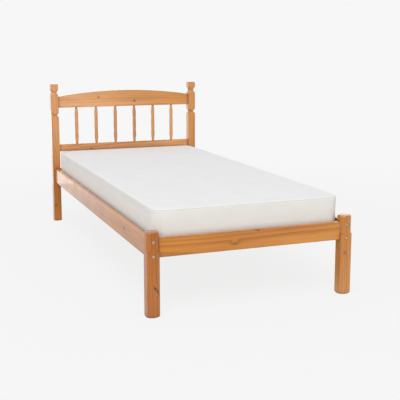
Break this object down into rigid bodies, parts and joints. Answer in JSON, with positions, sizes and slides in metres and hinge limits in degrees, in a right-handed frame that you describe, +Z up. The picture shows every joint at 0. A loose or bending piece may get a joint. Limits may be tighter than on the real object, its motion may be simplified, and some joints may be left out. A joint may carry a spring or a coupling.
{
  "type": "single bed frame with mattress",
  "caption": "Single bed in lacquered pine: spindle headboard with an arched rail, turned posts, low foot end, slatted base and a plain white mattress.",
  "frame": {"origin": "on the floor, under the middle of the overall box", "axes": "+X to the right seen from the foot end, +Y from the foot end to the headboard, +Z up"},
  "size_m": [0.98, 2.0756, 0.885],
  "materials": {
    "lacquered_pine": "clear gloss lacquer over honey-stained pine",
    "plain_pine": "planed, unfinished",
    "beech_dowel": "plain",
    "zinc_steel": "zinc plated",
    "mattress_fabric": "white knitted cover"
  },
  "bodies": {
    "bed_frame": {"barrel_nuts": "zinc_steel", "foot_post_bolts": "zinc_steel", "foot_post_left": "lacquered_pine", "foot_post_right": "lacquered_pine", "foot_rail": "lacquered_pine", "foot_rail_dowels": "beech_dowel", "head_base_rail": "lacquered_pine", "head_base_rail_dowels": "beech_dowel", "head_post_bolts": "zinc_steel", "head_post_left": "lacquered_pine", "head_post_right": "lacquered_pine", "headboard_lower_rail": "lacquered_pine", "headboard_top_rail": "lacquered_pine", "ledge_screws": "zinc_steel", "lower_rail_dowels": "beech_dowel", "side_rail_dowels": "beech_dowel", "side_rail_left": "lacquered_pine", "side_rail_right": "lacquered_pine", "slat_01": "plain_pine", "slat_02": "plain_pine", "slat_03": "plain_pine", "slat_04": "plain_pine", "slat_05": "plain_pine", "slat_06": "plain_pine", "slat_07": "plain_pine", "slat_08": "plain_pine", "slat_09": "plain_pine", "slat_10": "plain_pine", "slat_11": "plain_pine", "slat_12": "plain_pine", "slat_13": "plain_pine", "slat_14": "plain_pine", "slat_ledge_left": "plain_pine", "slat_ledge_right": "plain_pine", "slat_screws": "zinc_steel", "spindle_1": "lacquered_pine", "spindle_2": "lacquered_pine", "spindle_3": "lacquered_pine", "spindle_4": "lacquered_pine", "spindle_5": "lacquered_pine", "spindle_6": "lacquered_pine", "top_rail_dowels": "beech_dowel"},
    "mattress": {"mattress": "mattress_fabric"}
  },
  "joints": [
    {"name": "mattress_lift", "type": "slide", "parent": "bed_frame", "child": "mattress", "axis": [0, 0, 1], "range_m": [0, 0.6]}
  ]
}
